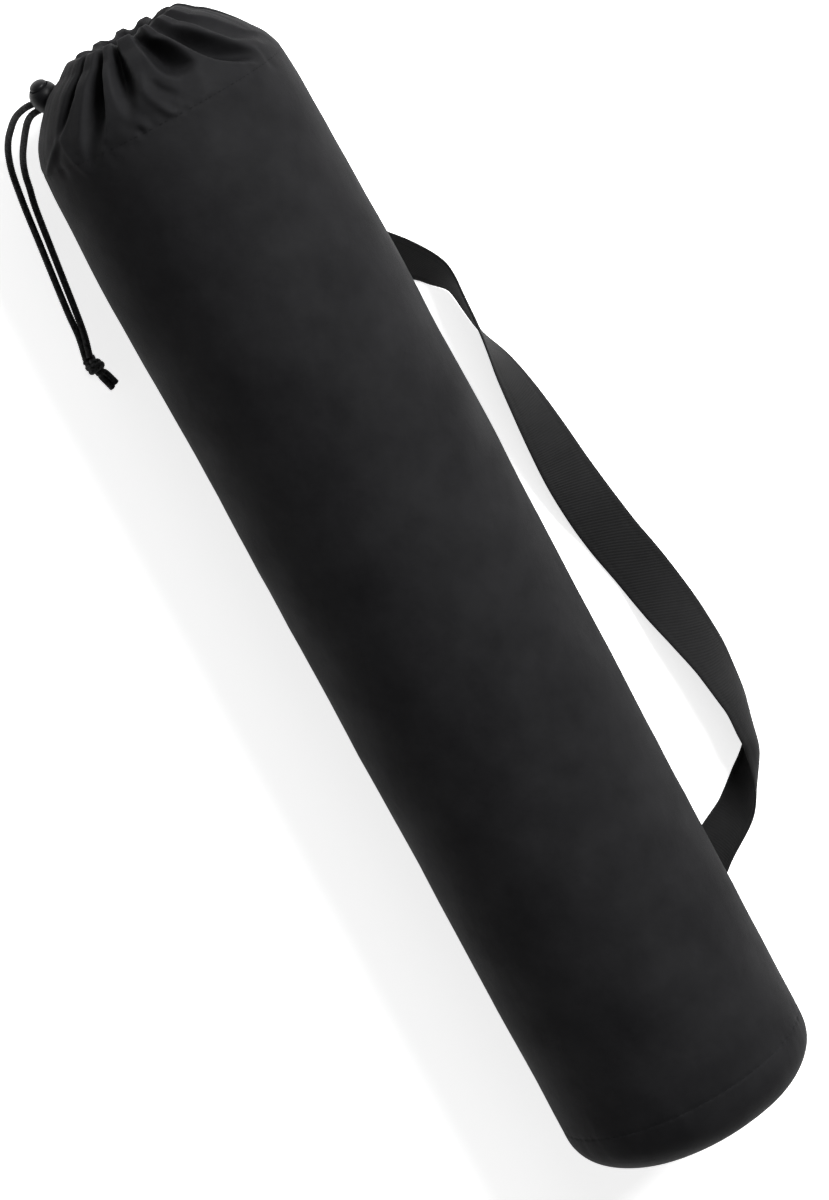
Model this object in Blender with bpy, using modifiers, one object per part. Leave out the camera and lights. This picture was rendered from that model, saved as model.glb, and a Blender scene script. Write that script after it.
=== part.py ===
"""Drawstring storage bag: a round cloth tube lying on its side, gathered at its mouth by a cord.

Metres, +Z up. The tube lies along X on a surface at z = 0: the mouth is at -X, the domed base at +X,
the shoulder strap lies on the +Y side and the two cord ends on the -Y side. Angles round the bag are
degrees from the top, positive towards the strap.
"""

import math

import bmesh
import bpy
from mathutils import Matrix, Vector

# Cloth tube
bag_length = 0.710
bag_radius = 0.076
base_dome_height = 0.034
base_dome_roundness = 2.2
cloth_wall = 0.0015
floor_flat_width = 0.036
seam_gap = 0.0004

# Gathered mouth
neck_radius = 0.041
casing_depth = 0.046
shoulder_length = 0.120
pleat_depth = 0.0080
pleat_sharpness = 1.5
rim_round = 0.0055
hem_clearance = 0.0006
inner_pleat_depth = 0.0045

# Drawstring and its lock
cord_diameter = 0.004
cord_clearance = 0.0005
cord_from_rim = 0.0072
exit_deg = -103.0
exit_slot_round = 0.0114
exit_slot_along = 0.0130
exit_slot_from_rim = 0.0122
lock_radius = 0.0084
lock_tip_length = 0.0115
lock_mouth_height = 0.0062
lock_reach = 0.0570
lock_from_rim = 0.0095
lock_tilt_deg = 20.0
lock_hole_spacing = 0.0050
lock_first_hole = -0.0012
button_radius = 0.0050
button_fit = 0.0004
button_height = 0.0033
button_travel = 0.0030
button_rest_gap = 0.0032
knot_length = 0.012
knot_width = 0.0098
cord_end_length = 0.010
touch_gap = 0.0003

# Shoulder strap
strap_width = 0.032
strap_thickness = 0.0016
strap_reach = 0.064
strap_first_x = -0.262
strap_span = 0.557
strap_seat_deg = 128.0
strap_gap = 0.0006

# Mesh counts
bag_segments = 104
dome_segments = 52
dome_rows = 6
strap_stations = 46
strap_strips = 6
cord_step = 0.010
turned_steps = 20

# Outer radius of the ridges behind the rim: distance as a share of shoulder_length, and how much of
# the way from neck_radius to bag_radius the cloth has opened.
SHOULDER = (
    ("distance", "fullness"),
    (0.00, 0.00),
    (0.06, 0.22),
    (0.13, 0.46),
    (0.20, 0.66),
    (0.29, 0.85),
    (0.38, 0.935),
    (0.60, 0.97),
    (1.00, 1.00),
)

# Depth of the pleats along the same distance, as a share of pleat_depth.
FADE = (
    ("distance", "depth"),
    (0.00, 1.00),
    (0.10, 1.25),
    (0.20, 1.15),
    (0.29, 0.75),
    (0.38, 0.25),
    (0.50, 0.00),
    (1.00, 0.00),
)

# Ridges of the gathers: where each starts at the rim, where it ends at the casing's stitch line, and
# how deep the valley after it is as a share of the common depth.
PLEATS = (
    ("rim_deg", "shoulder_deg", "valley"),
    (-127, -125, 1.20),
    (-84, -92, 0.75),
    (-38, -43, 1.00),
    (-19, -15, 0.90),
    (2, -1, 1.15),
    (20, 31, 1.15),
    (45, 57, 0.70),
    (74, 84, 0.85),
    (100, 106, 1.00),
    (128, 131, 0.90),
    (156, 157, 1.00),
    (181, 181, 0.90),
    (207, 208, 1.00),
)

# Strap from its first seat under the flank to its last. along is the share of strap_span, out the
# share of strap_reach beyond the bag's side, lean the direction of its width from level, curl how far
# its width is bent, and seat is 1 where it lies sewn on the bag and 0 where it lies free.
STRAP = (
    ("along", "out", "lean_deg", "curl_deg", "seat"),
    (0.000, -0.27, 52, 24, 1.00),
    (0.060, -0.27, 52, 24, 1.00),
    (0.102, -0.24, 51, 24, 0.85),
    (0.138, -0.12, 47, 22, 0.45),
    (0.168, 0.05, 45, 20, 0.12),
    (0.202, 0.24, 58, 20, 0.00),
    (0.230, 0.32, 82, 24, 0.00),
    (0.254, 0.33, 87, 20, 0.00),
    (0.275, 0.34, 92, 12, 0.00),
    (0.320, 0.39, 116, 10, 0.00),
    (0.362, 0.42, 131, 10, 0.00),
    (0.405, 0.44, 144, 10, 0.00),
    (0.448, 0.46, 156, 8, 0.00),
    (0.492, 0.50, 168, 8, 0.00),
    (0.536, 0.56, 179, 8, 0.00),
    (0.578, 0.64, 179, 8, 0.00),
    (0.620, 0.71, 168, 10, 0.00),
    (0.662, 0.78, 151, 16, 0.00),
    (0.704, 0.83, 137, 28, 0.00),
    (0.746, 0.84, 124, 48, 0.00),
    (0.784, 0.78, 110, 90, 0.00),
    (0.805, 0.70, 92, 140, 0.00),
    (0.828, 0.58, 70, 112, 0.00),
    (0.854, 0.41, 57, 62, 0.00),
    (0.886, 0.06, 50, 30, 0.25),
    (0.914, -0.20, 51, 24, 0.75),
    (0.941, -0.27, 52, 24, 1.00),
    (1.000, -0.27, 52, 24, 1.00),
)

# Free cord ends on the surface beside the bag, from the lock to the knot: x, y and height of the
# centre line, from the middle of the bag's flat underside.
CORD_ROUTE_OUTER = (
    (-0.3444, -0.0675, 0.0565),
    (-0.3428, -0.0732, 0.0495),
    (-0.3400, -0.0775, 0.0405),
    (-0.3360, -0.0815, 0.0310),
    (-0.3308, -0.0858, 0.0195),
    (-0.3245, -0.0894, 0.0095),
    (-0.3175, -0.0920, 0.0038),
    (-0.3109, -0.0937, 0.0024),
    (-0.2997, -0.0955, 0.0023),
    (-0.2884, -0.0970, 0.0023),
    (-0.2658, -0.0995, 0.0023),
    (-0.2431, -0.1022, 0.0023),
    (-0.2203, -0.1046, 0.0024),
)
CORD_ROUTE_INNER = (
    (-0.3390, -0.0670, 0.0545),
    (-0.3364, -0.0708, 0.0480),
    (-0.3320, -0.0745, 0.0395),
    (-0.3265, -0.0783, 0.0285),
    (-0.3202, -0.0823, 0.0175),
    (-0.3135, -0.0855, 0.0085),
    (-0.3065, -0.0877, 0.0036),
    (-0.2997, -0.0890, 0.0024),
    (-0.2884, -0.0914, 0.0023),
    (-0.2658, -0.0944, 0.0023),
    (-0.2431, -0.0971, 0.0023),
    (-0.2203, -0.0997, 0.0024),
)
knot_place = Vector((-0.1925, -0.1045, 0.0058))
knot_turn_deg = 16.0

# Sizes that follow from those above
rim_x = -bag_length / 2
dome_x = bag_length / 2 - base_dome_height
axis_height = math.sqrt(bag_radius**2 - (floor_flat_width / 2) ** 2)
cord_radius = cord_diameter / 2
channel_half = cord_radius + cord_clearance + cloth_wall / 2
deepest_valley = max(row[2] for row in PLEATS[1:])
drawstring_radius = neck_radius - pleat_depth * deepest_valley - channel_half
exit_slot_floor = drawstring_radius + channel_half + cord_clearance * 6


def clear_scene():
    for old in list(bpy.data.objects):
        bpy.data.objects.remove(old, do_unlink=True)


def new_collection(name, hidden=False):
    collection = bpy.data.collections.new(name)
    collection.hide_render = hidden
    bpy.context.scene.collection.children.link(collection)
    return collection


def material(name, colour, roughness):
    made = bpy.data.materials.new(name)
    made.use_nodes = True
    shader = made.node_tree.nodes["Principled BSDF"]
    shader.inputs["Base Color"].default_value = (*colour, 1.0)
    shader.inputs["Roughness"].default_value = roughness
    shader.inputs["Metallic"].default_value = 0.0
    return made


def read_table(rows, key, column, at):
    """The column's value at a key value, on a smooth curve that never overshoots its rows."""
    names = rows[0]
    keys = [row[names.index(key)] for row in rows[1:]]
    values = [row[names.index(column)] for row in rows[1:]]
    if at <= keys[0]:
        return values[0]
    if at >= keys[-1]:
        return values[-1]
    i = max(k for k in range(len(keys) - 1) if keys[k] <= at)
    slopes = [(values[k + 1] - values[k]) / (keys[k + 1] - keys[k]) for k in range(len(keys) - 1)]

    def tangent(k):
        if k == 0 or k == len(keys) - 1:
            return slopes[min(k, len(slopes) - 1)]
        before, after = slopes[k - 1], slopes[k]
        return 0.0 if before * after <= 0 else 2 * before * after / (before + after)

    step = keys[i + 1] - keys[i]
    f = (at - keys[i]) / step
    return (
        (2 * f**3 - 3 * f**2 + 1) * values[i]
        + (f**3 - 2 * f**2 + f) * step * tangent(i)
        + (3 * f**2 - 2 * f**3) * values[i + 1]
        + (f**3 - f**2) * step * tangent(i + 1)
    )


def smooth_line(points, spacing):
    """Points about spacing apart on a smooth curve through the given ones."""
    points = [Vector(p) for p in points]
    line = []
    for i in range(len(points) - 1):
        p1, p2 = points[i], points[i + 1]
        p0 = points[i - 1] if i else p1 + (p1 - p2)
        p3 = points[i + 2] if i + 2 < len(points) else p2 + (p2 - p1)
        count = max(1, round((p2 - p1).length / spacing))
        for k in range(count):
            f = k / count
            line.append(
                0.5
                * (
                    2 * p1
                    + (p2 - p0) * f
                    + (2 * p0 - 5 * p1 + 4 * p2 - p3) * f**2
                    + (3 * p1 - p0 - 3 * p2 + p3) * f**3
                )
            )
    return line + [points[-1]]


def mesh_object(name, bm, collection, finish, smooth=True):
    bmesh.ops.recalc_face_normals(bm, faces=bm.faces)
    mesh = bpy.data.meshes.new(name)
    bm.to_mesh(mesh)
    bm.free()
    if smooth:
        mesh.shade_smooth()
    mesh.materials.append(finish)
    made = bpy.data.objects.new(name, mesh)
    collection.objects.link(made)
    return made


def grid_mesh(rows, closed):
    """A sheet of quads through rows of points, joined end to end where closed."""
    bm = bmesh.new()
    lines = [[bm.verts.new(p) for p in row] for row in rows]
    for one, two in zip(lines, lines[1:]):
        count = len(one) if closed else len(one) - 1
        for k in range(count):
            n = (k + 1) % len(one)
            bm.faces.new((one[k], one[n], two[n], two[k]))
    return bm


def tube(name, points, diameter, collection, finish):
    curve = bpy.data.curves.new(name, "CURVE")
    curve.dimensions = "3D"
    curve.bevel_depth = diameter / 2
    curve.bevel_resolution = 2
    curve.use_fill_caps = True
    spline = curve.splines.new("POLY")
    spline.points.add(len(points) - 1)
    for place, point in zip(spline.points, points):
        place.co = (*point, 1.0)
    curve.materials.append(finish)
    made = bpy.data.objects.new(name, curve)
    collection.objects.link(made)
    return made


def wall(made, thickness):
    solidify = made.modifiers.new("wall", "SOLIDIFY")
    solidify.thickness = thickness
    solidify.offset = 0.0
    solidify.use_even_offset = True


# Shape of the cloth


def ridge_radius(distance):
    share = distance / shoulder_length
    return neck_radius + (bag_radius - neck_radius) * read_table(SHOULDER, "distance", "fullness", share)


def pleat_depth_at(distance):
    return pleat_depth * read_table(FADE, "distance", "depth", distance / shoulder_length)


def pleat_drop(deg, distance):
    """How far down a valley the cloth is at this angle: 0 on a ridge, up to the valley's own share."""
    turned = min(1.0, distance / casing_depth)
    ridges = [rim + (shoulder - rim) * turned for rim, shoulder, _ in PLEATS[1:]]
    deg = (deg - ridges[0]) % 360 + ridges[0]
    i = max(k for k in range(len(ridges)) if ridges[k] <= deg)
    after = ridges[i + 1] if i + 1 < len(ridges) else ridges[0] + 360
    f = (deg - ridges[i]) / (after - ridges[i])
    return PLEATS[i + 1][2] * math.sin(math.pi * f) ** (2 * pleat_sharpness)


def outer_radius(deg, distance):
    return ridge_radius(distance) - pleat_depth_at(distance) * pleat_drop(deg, distance)


def hem_offset(distance):
    """Radial distance from the outer layer to the turned-in hem that keeps the two walls clear."""
    nudge = casing_depth / 50
    slope = (ridge_radius(distance + nudge) - ridge_radius(distance)) / nudge
    pleats = len(PLEATS) - 1
    flank = pleat_sharpness * pleat_depth_at(distance) * pleats / (2 * ridge_radius(distance))
    return (cloth_wall + hem_clearance) * math.sqrt(1 + slope**2 + flank**2) + hem_clearance


def inner_radius(deg, distance):
    """The hem inside the casing: it leaves room for the cord near the rim, then follows the outer layer."""
    channel = drawstring_radius - channel_half - inner_pleat_depth * pleat_drop(deg, distance)
    follow = outer_radius(deg, distance) - hem_offset(distance)
    start = cord_from_rim + channel_half
    f = min(1.0, max(0.0, (distance - start) / (casing_depth * 0.3)))
    f = f * f * (3 - 2 * f)
    return channel * (1 - f) + follow * f


def on_bag(x, deg, radius):
    """A point of the cloth, kept on the surface that the bag lies on."""
    angle = math.radians(deg)
    height = max(axis_height + radius * math.cos(angle), cloth_wall / 2)
    return Vector((x, radius * math.sin(angle), height))


def bag_body(collection, finish):
    angles = [360 * k / bag_segments for k in range(bag_segments)]
    inner_shares = (0.98, 0.66, 0.42, 0.26)
    outer_shares = (0.26, 0.42, 0.58, 0.78, 1.00, 1.30, 2.60)
    rows = []
    for share in inner_shares:
        distance = share * casing_depth
        rows.append([on_bag(rim_x + distance, a, inner_radius(a, distance)) for a in angles])
    for turn in (0, 45, 90, 135, 180):
        lean = math.radians(turn)
        distance = rim_round * (1 - math.sin(lean))
        mix = (1 - math.cos(lean)) / 2
        row = []
        for a in angles:
            radius = inner_radius(a, rim_round) * (1 - mix) + outer_radius(a, rim_round) * mix
            row.append(on_bag(rim_x + distance, a, radius))
        rows.append(row)
    for share in outer_shares:
        distance = share * casing_depth
        rows.append([on_bag(rim_x + distance, a, outer_radius(a, distance)) for a in angles])
    rows.append([on_bag(dome_x, a, bag_radius) for a in angles])
    body = mesh_object("bag_body", grid_mesh(rows, closed=True), collection, finish)
    wall(body, cloth_wall)
    return body


def base_panel(collection, finish):
    """The round end: a shallow dome with a rounded edge, sewn to the tube."""
    angles = [360 * k / dome_segments for k in range(dome_segments)]
    rows = []
    for k in range(dome_rows):
        turn = math.radians(90 * k / dome_rows)
        radius = bag_radius * math.cos(turn) ** (2 / base_dome_roundness)
        rise = base_dome_height * math.sin(turn) ** (2 / base_dome_roundness)
        x = dome_x + seam_gap + (rise * (1 - seam_gap / base_dome_height))
        rows.append([on_bag(x - cloth_wall / 2 * math.sin(turn), a, radius) for a in angles])
    bm = grid_mesh(rows, closed=True)
    bm.verts.ensure_lookup_table()
    last = list(bm.verts)[-dome_segments:]
    centre = bm.verts.new((bag_length / 2 - cloth_wall / 2, 0, axis_height))
    for k, vert in enumerate(last):
        bm.faces.new((vert, last[(k + 1) % dome_segments], centre))
    made = mesh_object("base_panel", bm, collection, finish)
    wall(made, cloth_wall)
    return made


# Drawstring, lock and cord ends


def lock_frame():
    """Place and directions of the lock: its centre, the way its button points and the cords' way."""
    angle = math.radians(exit_deg)
    tilt = math.radians(lock_tilt_deg)
    way = Vector((0, math.sin(angle), math.cos(angle)))
    along = Vector((1, 0, 0))
    axis = way.cross(along) * math.sin(tilt) - along * math.cos(tilt)
    centre = Vector((rim_x + lock_from_rim, 0, axis_height)) + way * lock_reach
    return centre, axis, way


def lock_hole(index):
    """Centre of a cord hole on the lock's own axis."""
    centre, axis, _ = lock_frame()
    return centre + axis * (lock_first_hole - index * lock_hole_spacing)


def on_ring(deg, radius, from_rim=cord_from_rim):
    angle = math.radians(deg)
    return Vector((rim_x + from_rim, radius * math.sin(angle), axis_height + radius * math.cos(angle)))


def drawstring_loop(collection, finish):
    """The cord inside the casing, with both ends out through the slot and into the lock."""
    _, _, way = lock_frame()
    slot_radius = neck_radius - pleat_depth / 2
    aside = math.degrees((exit_slot_round / 2 - cord_radius - cord_clearance) / slot_radius)
    ends = []
    for index, side in ((0, 1), (1, -1)):
        hole = lock_hole(index)
        past_slot = exit_slot_from_rim - side * cord_radius / 2
        ends.append(
            [
                hole - way * touch_gap / 2,
                hole - way * lock_radius * 0.9,
                hole - way * (lock_radius + cord_radius),
                on_ring(exit_deg + side * aside, slot_radius, past_slot),
                on_ring(exit_deg + side * aside * 2.4, drawstring_radius + cord_radius * 0.6),
            ]
        )
    start = exit_deg + aside * 5
    sweep = 360 - aside * 10
    steps = 30
    ring = [on_ring(start + sweep * k / steps, drawstring_radius) for k in range(steps + 1)]
    line = smooth_line(ends[0] + ring + ends[1][::-1], cord_step)
    return tube("drawstring_loop", line, cord_diameter, collection, finish)


def cord_tail(name, index, route, collection, finish):
    _, _, way = lock_frame()
    hole = lock_hole(index)
    start = [hole + way * touch_gap / 2, hole + way * lock_radius * 0.95]
    turn = math.radians(knot_turn_deg)
    forward = Vector((math.cos(turn), math.sin(turn), 0))
    side = Vector((-forward.y, forward.x, 0)) * (index - 0.5) * (cord_diameter + touch_gap * 2)
    end = knot_place - forward * (knot_length / 2 + touch_gap * 2) + side
    end.z = cord_radius + touch_gap * 2
    line = smooth_line(start + [Vector(p) for p in route] + [end], cord_step)
    return tube(name, line, cord_diameter, collection, finish)


def turned(name, profile, collection, finish, steps=turned_steps):
    """A solid turned round Z from a profile of (radius, height) that starts and ends on the axis."""
    bm = bmesh.new()
    verts = [bm.verts.new((r, 0, z)) for r, z in profile]
    for one, two in zip(verts, verts[1:]):
        bm.edges.new((one, two))
    mesh = bpy.data.meshes.new(name)
    bm.to_mesh(mesh)
    bm.free()
    mesh.materials.append(finish)
    made = bpy.data.objects.new(name, mesh)
    collection.objects.link(made)
    screw = made.modifiers.new("turn", "SCREW")
    screw.steps = steps
    screw.render_steps = steps
    screw.use_merge_vertices = True
    screw.merge_threshold = 0.00001
    screw.use_smooth_shade = True
    return made


def lock_matrix(offset=0.0):
    """Object matrix with Z along the lock's axis and X along the cords' way."""
    centre, axis, way = lock_frame()
    across = axis.cross(way)
    rotation = Matrix((way, across, axis)).transposed().to_4x4()
    return Matrix.Translation(centre + axis * offset) @ rotation


def cylinder_cutter(name, radius, length, matrix, collection):
    bm = bmesh.new()
    bmesh.ops.create_cone(
        bm, cap_ends=True, segments=14, radius1=radius, radius2=radius, depth=length
    )
    mesh = bpy.data.meshes.new(name)
    bm.to_mesh(mesh)
    bm.free()
    made = bpy.data.objects.new(name, mesh)
    collection.objects.link(made)
    made.matrix_world = matrix
    made.hide_render = True
    made.display_type = "WIRE"
    return made


def cut(made, cutter, operation="DIFFERENCE"):
    boolean = made.modifiers.new(cutter.name, "BOOLEAN")
    boolean.operation = operation
    boolean.solver = "EXACT"
    boolean.object = cutter


def cord_lock(collection, cutters, finish):
    """Egg-shaped lock with a bore for its button and two holes for the cords."""
    bore = button_radius + button_fit
    floor = lock_mouth_height - button_rest_gap - button_travel * 0.35
    profile = [(0.0, floor), (bore, floor), (bore, lock_mouth_height - 0.0003)]
    profile.append((bore + 0.0003, lock_mouth_height))
    rows = 9
    for k in range(rows + 1):
        turn = math.radians(-90 + 136.0 * (rows - k) / rows)
        length = lock_tip_length if turn < 0 else lock_mouth_height / math.sin(math.radians(46))
        radius = lock_radius * math.cos(turn) ** (1.0 if turn > 0 else 1.15)
        profile.append((max(radius, 0.0) if k < rows else 0.0, length * math.sin(turn)))
    lock = turned("cord_lock", profile, collection, finish)
    lock.matrix_world = lock_matrix()
    across = Matrix.Rotation(math.radians(90), 4, "Y")
    for index in (0, 1):
        height = lock_first_hole - index * lock_hole_spacing
        place = lock_matrix(height) @ across
        hole = cylinder_cutter(
            f"lock_hole_cutter_{index + 1}", cord_radius + cord_clearance * 0.6, 0.03, place, cutters
        )
        cut(lock, hole)
    return lock


def lock_button(collection, finish):
    """Press button in the lock's bore. Its origin is at the centre of its lower face."""
    profile = [(0.0, button_height + 0.0012), (button_radius * 0.45, button_height + 0.0010)]
    profile += [(button_radius * 0.80, button_height + 0.0003), (button_radius, button_height - 0.0008)]
    profile += [(button_radius, 0.0), (0.0, 0.0)]
    button = turned("lock_button", profile, collection, finish)
    lowest = lock_mouth_height - button_rest_gap + button_travel * 0.75
    button.matrix_world = lock_matrix(lowest)
    return button


def end_knot(collection, cutters, finish):
    """Overhand knot that holds both cord ends together, with the two short ends past it."""
    bm = bmesh.new()
    bmesh.ops.create_uvsphere(bm, u_segments=14, v_segments=9, radius=1.0)
    for vert in bm.verts:
        x, y, z = vert.co
        lobe = 1 + 0.13 * math.sin(2.6 * x + 3.0 * math.atan2(z, y))
        vert.co = (x * knot_length / 2, y * lobe * knot_width / 2, z * lobe * knot_width / 2)
    knot = mesh_object("end_knot", bm, collection, finish)
    knot.location = knot_place
    knot.rotation_euler = (0, 0, math.radians(knot_turn_deg))
    turn = Matrix.Rotation(math.radians(knot_turn_deg), 4, "Z")
    for index in (0, 1):
        shift = Vector(
            (
                knot_length / 2 + cord_end_length / 2 - cord_radius,
                (index - 0.5) * (cord_diameter + touch_gap * 2),
                cord_radius + touch_gap - knot_place.z,
            )
        )
        place = (
            Matrix.Translation(knot_place)
            @ turn
            @ Matrix.Translation(shift)
            @ Matrix.Rotation(math.radians(90), 4, "Y")
        )
        length = cord_end_length + cord_diameter
        end = cylinder_cutter(f"cord_end_{index + 1}", cord_radius, length, place, cutters)
        cut(knot, end, "UNION")
    return knot


# Shoulder strap


def strap_section(share):
    """The width of the strap at one station, as points in (out, up) round its chord's middle."""
    lean = math.radians(read_table(STRAP, "along", "lean_deg", share))
    curl = math.radians(max(4.0, read_table(STRAP, "along", "curl_deg", share)))
    radius = strap_width / curl
    points = []
    for k in range(strap_strips + 1):
        turn = curl * (k / strap_strips - 0.5)
        run = radius * math.sin(turn)
        bulge = radius * (math.cos(turn) - math.cos(curl / 2))
        points.append(
            (
                run * math.cos(lean) + bulge * math.sin(lean),
                run * math.sin(lean) - bulge * math.cos(lean),
            )
        )
    return points


def strap_middle(share):
    """Middle of the chord: sewn on the bag's flank near both ends, on the surface between them."""
    seat = read_table(STRAP, "along", "seat", share)
    curl = math.radians(read_table(STRAP, "along", "curl_deg", share))
    angle = math.radians(strap_seat_deg)
    sagitta = strap_width / curl * (1 - math.cos(curl / 2))
    seat_radius = bag_radius + cloth_wall / 2 + strap_gap + strap_thickness / 2 - sagitta * seat
    lowest = min(up for _, up in strap_section(share))
    free_y = bag_radius + strap_reach * read_table(STRAP, "along", "out", share)
    free_z = strap_thickness / 2 + touch_gap - lowest
    seat_y = seat_radius * math.sin(angle)
    seat_z = axis_height + seat_radius * math.cos(angle)
    return Vector(
        (
            strap_first_x + strap_span * share,
            free_y * (1 - seat) + seat_y * seat,
            free_z * (1 - seat) + seat_z * seat,
        )
    )


def shoulder_strap(collection, finish):
    rows = []
    nudge = 0.5 / strap_stations
    for k in range(strap_stations + 1):
        share = k / strap_stations
        middle = strap_middle(share)
        heading = strap_middle(min(1.0, share + nudge)) - strap_middle(max(0.0, share - nudge))
        heading.z = 0
        heading.normalize()
        out = Vector((-heading.y, heading.x, 0))
        rows.append([middle + out * o + Vector((0, 0, up)) for o, up in strap_section(share)])
    strap = mesh_object("shoulder_strap", grid_mesh(rows, closed=False), collection, finish)
    wall(strap, strap_thickness)
    return strap


def cut_cord_slot(body, cutters):
    """The slot in the casing's outer layer that the cord comes out of."""
    angle = math.radians(exit_deg)
    out = Vector((0, math.sin(angle), math.cos(angle)))
    along = Vector((1, 0, 0))
    rotation = Matrix((along, out.cross(along), out)).transposed().to_4x4()
    length = lock_reach - exit_slot_floor
    centre = Vector((rim_x + exit_slot_from_rim, 0, axis_height)) + out * (lock_reach - length / 2)
    bm = bmesh.new()
    bmesh.ops.create_cube(bm, size=1.0)
    bm.transform(Matrix.Diagonal((exit_slot_along, exit_slot_round, length, 1.0)))
    mesh = bpy.data.meshes.new("cord_slot_cutter")
    bm.to_mesh(mesh)
    bm.free()
    cutter = bpy.data.objects.new("cord_slot_cutter", mesh)
    cutters.objects.link(cutter)
    cutter.matrix_world = Matrix.Translation(centre) @ rotation
    cutter.hide_render = True
    cutter.display_type = "WIRE"
    cut(body, cutter)


def main():
    clear_scene()
    parts = new_collection("drawstring_storage_bag")
    cutters = new_collection("cutters", hidden=True)
    shell_cloth = material("shell_cloth", (0.020, 0.020, 0.021), 0.55)
    strap_webbing = material("strap_webbing", (0.024, 0.024, 0.025), 0.65)
    braided_cord = material("braided_cord", (0.010, 0.010, 0.011), 0.70)
    lock_plastic = material("lock_plastic", (0.012, 0.012, 0.013), 0.22)

    body = bag_body(parts, shell_cloth)
    cut_cord_slot(body, cutters)
    made = [body, base_panel(parts, shell_cloth)]
    made.append(drawstring_loop(parts, braided_cord))
    made.append(cord_lock(parts, cutters, lock_plastic))
    made.append(lock_button(parts, lock_plastic))
    made.append(cord_tail("cord_tail_outer", 0, CORD_ROUTE_OUTER, parts, braided_cord))
    made.append(cord_tail("cord_tail_inner", 1, CORD_ROUTE_INNER, parts, braided_cord))
    made.append(end_knot(parts, cutters, braided_cord))
    made.append(shoulder_strap(parts, strap_webbing))

    # The origin is under the middle of the bag and its strap together.
    strap_edge = max(vert.co.y for vert in made[-1].data.vertices)
    centre = bpy.data.objects.new("bag_frame", None)
    parts.objects.link(centre)
    centre.location = (0, (bag_radius - strap_edge) / 2, 0)
    for each in made + list(cutters.objects):
        each.parent = centre


main()
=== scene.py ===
import math

import bmesh
import bpy
import numpy as np
from mathutils import Matrix, Vector


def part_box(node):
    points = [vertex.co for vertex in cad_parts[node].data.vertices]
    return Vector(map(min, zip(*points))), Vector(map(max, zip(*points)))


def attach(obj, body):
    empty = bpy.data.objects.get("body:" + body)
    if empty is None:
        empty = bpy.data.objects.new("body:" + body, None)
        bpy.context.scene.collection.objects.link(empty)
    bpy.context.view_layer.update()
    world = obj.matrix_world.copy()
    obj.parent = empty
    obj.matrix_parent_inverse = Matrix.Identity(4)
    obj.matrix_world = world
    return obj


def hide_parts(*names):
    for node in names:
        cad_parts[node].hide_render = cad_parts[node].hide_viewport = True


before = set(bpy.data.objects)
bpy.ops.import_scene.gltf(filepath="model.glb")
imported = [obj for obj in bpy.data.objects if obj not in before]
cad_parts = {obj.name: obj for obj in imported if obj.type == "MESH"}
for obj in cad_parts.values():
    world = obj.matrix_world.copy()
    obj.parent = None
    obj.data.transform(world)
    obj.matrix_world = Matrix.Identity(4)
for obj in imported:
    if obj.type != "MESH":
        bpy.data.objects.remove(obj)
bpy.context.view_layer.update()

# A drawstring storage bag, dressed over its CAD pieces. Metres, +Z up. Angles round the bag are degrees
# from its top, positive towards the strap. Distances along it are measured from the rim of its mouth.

body_low, body_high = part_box("bag_body")
axis_y = (body_low[1] + body_high[1]) / 2

# The bag's sizes
bag_length = 0.710
dome_proud = 0.0022
base_lap = 0.0040
base_stitch_inset = 0.004
bag_radius = 0.076
base_dome_height = 0.034
base_dome_roundness = 2.45
cloth_wall = 0.0015
floor_flat_width = 0.036
neck_radius = 0.041
casing_depth = 0.046
shoulder_length = 0.120
rim_round = 0.0055
rim_corner = 0.0125
rim_wave = 0.0028
rim_corner_drop = 0.0045
pleat_depth = 0.0080
cord_diameter = 0.004
cord_clearance = 0.0005
cord_from_rim = 0.0072
exit_deg = -103.0
exit_slot_round = 0.0114
exit_slot_from_rim = 0.0122
lock_radius = 0.0084
lock_tip_length = 0.0115
lock_mouth_height = 0.0062
lock_reach = 0.0570
lock_from_rim = 0.0095
lock_tilt_deg = 20.0
lock_hole_spacing = 0.0050
lock_first_hole = -0.0012
button_radius = 0.0050
button_fit = 0.0004
button_height = 0.0033
button_travel = 0.0030
button_rest_gap = 0.0032
knot_length = 0.012
knot_width = 0.0098
cord_end_length = 0.010
touch_gap = 0.0003
strap_width = 0.032
strap_thickness = 0.0016
strap_reach = 0.064
strap_first_x = -0.262
strap_span = 0.557
strap_seat_deg = 128.0
strap_gap = 0.0006
strap_strips = 26

rim_x = -bag_length / 2
dome_x = bag_length / 2 - base_dome_height
tube_length = dome_x - rim_x
axis_height = math.sqrt(bag_radius**2 - (floor_flat_width / 2) ** 2)
cord_radius = cord_diameter / 2
channel_half = cord_radius + cord_clearance + cloth_wall / 2
drawstring_radius = neck_radius - pleat_depth * 1.2 - channel_half

# Openness of the ridges behind the rim, as shares of the way from neck_radius to bag_radius.
SHOULDER = (
    ("distance", "fullness"),
    (0.00, 0.00), (0.06, 0.22), (0.13, 0.46), (0.20, 0.66),
    (0.29, 0.85), (0.38, 0.935), (0.60, 0.97), (1.00, 1.00),
)

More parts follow.
